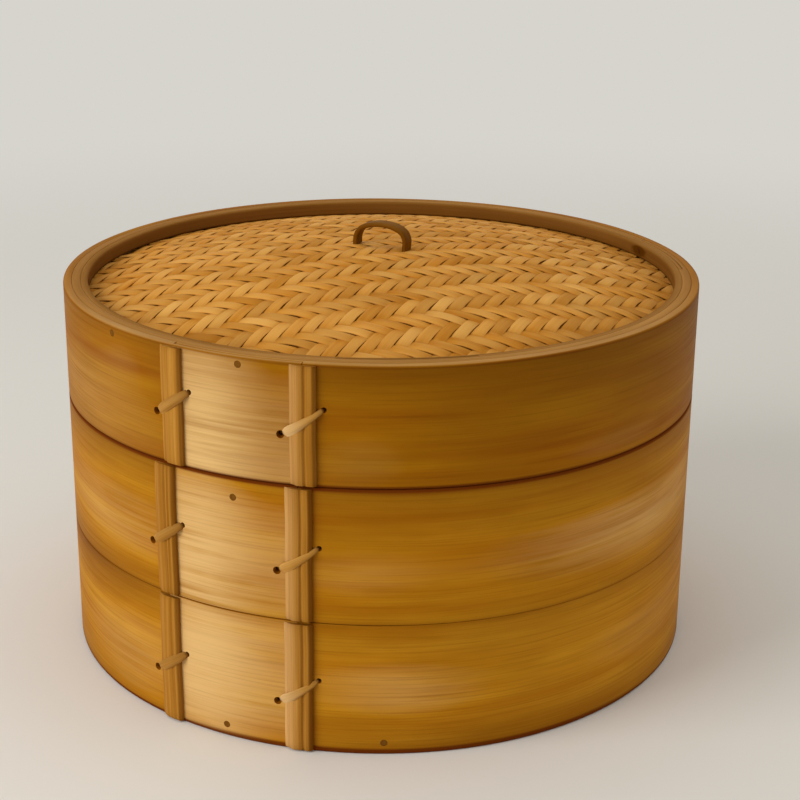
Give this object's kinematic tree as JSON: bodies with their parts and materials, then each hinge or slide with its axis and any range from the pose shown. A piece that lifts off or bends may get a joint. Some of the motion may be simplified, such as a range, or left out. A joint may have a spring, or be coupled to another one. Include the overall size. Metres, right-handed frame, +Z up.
{
  "type": "bamboo steamer",
  "caption": "Round stacking bamboo steamer: slatted tiers of lapped, lashed hoops under a lid with a domed woven cover and a bent strip handle.",
  "frame": {"origin": "centre of the lower tier's bottom edge, on the axis of the hoops", "axes": "+Z up along the axis of the hoops, -Y towards the viewer of the picture, the lap joints on the -Y side towards -X"},
  "size_m": [0.254, 0.2553, 0.1682],
  "materials": {
    "wall_bamboo": "satin, steamed and dried split bamboo with long grain",
    "inner_bamboo": "matt split bamboo with long grain",
    "floor_bamboo": "matt planed bamboo slats",
    "woven_bamboo": "satin, interlaced split bamboo strips",
    "batten_bamboo": "satin split bamboo with the grain upright",
    "lashing_cane": "satin cane",
    "peg_bamboo": "matt end grain",
    "handle_bamboo": "satin bent bamboo strip"
  },
  "bodies": {
    "lower_tier": {"lower_wall_hoop": "wall_bamboo", "lower_lining_hoop": "inner_bamboo", "lower_collar_hoop": "inner_bamboo", "lower_floor_ring": "inner_bamboo", "lower_crossbar_left": "floor_bamboo", "lower_crossbar_right": "floor_bamboo", "lower_slat_1": "floor_bamboo", "lower_slat_2": "floor_bamboo", "lower_slat_3": "floor_bamboo", "lower_slat_4": "floor_bamboo", "lower_slat_5": "floor_bamboo", "lower_slat_6": "floor_bamboo", "lower_slat_7": "floor_bamboo", "lower_slat_8": "floor_bamboo", "lower_slat_9": "floor_bamboo", "lower_batten_left": "batten_bamboo", "lower_batten_right": "batten_bamboo", "lower_lashing_left": "lashing_cane", "lower_lashing_right": "lashing_cane", "lower_peg_1": "peg_bamboo", "lower_peg_2": "peg_bamboo", "lower_peg_3": "peg_bamboo"},
    "upper_tier": {"upper_wall_hoop": "wall_bamboo", "upper_lining_hoop": "inner_bamboo", "upper_collar_hoop": "inner_bamboo", "upper_floor_ring": "inner_bamboo", "upper_crossbar_left": "floor_bamboo", "upper_crossbar_right": "floor_bamboo", "upper_slat_1": "floor_bamboo", "upper_slat_2": "floor_bamboo", "upper_slat_3": "floor_bamboo", "upper_slat_4": "floor_bamboo", "upper_slat_5": "floor_bamboo", "upper_slat_6": "floor_bamboo", "upper_slat_7": "floor_bamboo", "upper_slat_8": "floor_bamboo", "upper_slat_9": "floor_bamboo", "upper_batten_left": "batten_bamboo", "upper_batten_right": "batten_bamboo", "upper_lashing_left": "lashing_cane", "upper_lashing_right": "lashing_cane", "upper_peg_1": "peg_bamboo", "upper_peg_2": "peg_bamboo", "upper_peg_3": "peg_bamboo"},
    "lid": {"lid_wall_hoop": "wall_bamboo", "lid_lining_hoop": "inner_bamboo", "lid_retaining_ring": "inner_bamboo", "lid_support_ring": "inner_bamboo", "lid_woven_cover": "woven_bamboo", "lid_woven_backing": "woven_bamboo", "lid_handle_loop": "handle_bamboo", "lid_batten_left": "batten_bamboo", "lid_batten_right": "batten_bamboo", "lid_lashing_left": "lashing_cane", "lid_lashing_right": "lashing_cane", "lid_peg_1": "peg_bamboo", "lid_peg_2": "peg_bamboo", "lid_peg_3": "peg_bamboo", "lid_peg_4": "peg_bamboo"}
  },
  "joints": [
    {"name": "upper_tier_lift", "type": "slide", "parent": "lower_tier", "child": "upper_tier", "axis": [0, 0, 1], "range_m": [0, 0.12]},
    {"name": "lid_lift", "type": "slide", "parent": "upper_tier", "child": "lid", "axis": [0, 0, 1], "range_m": [0, 0.12]}
  ]
}
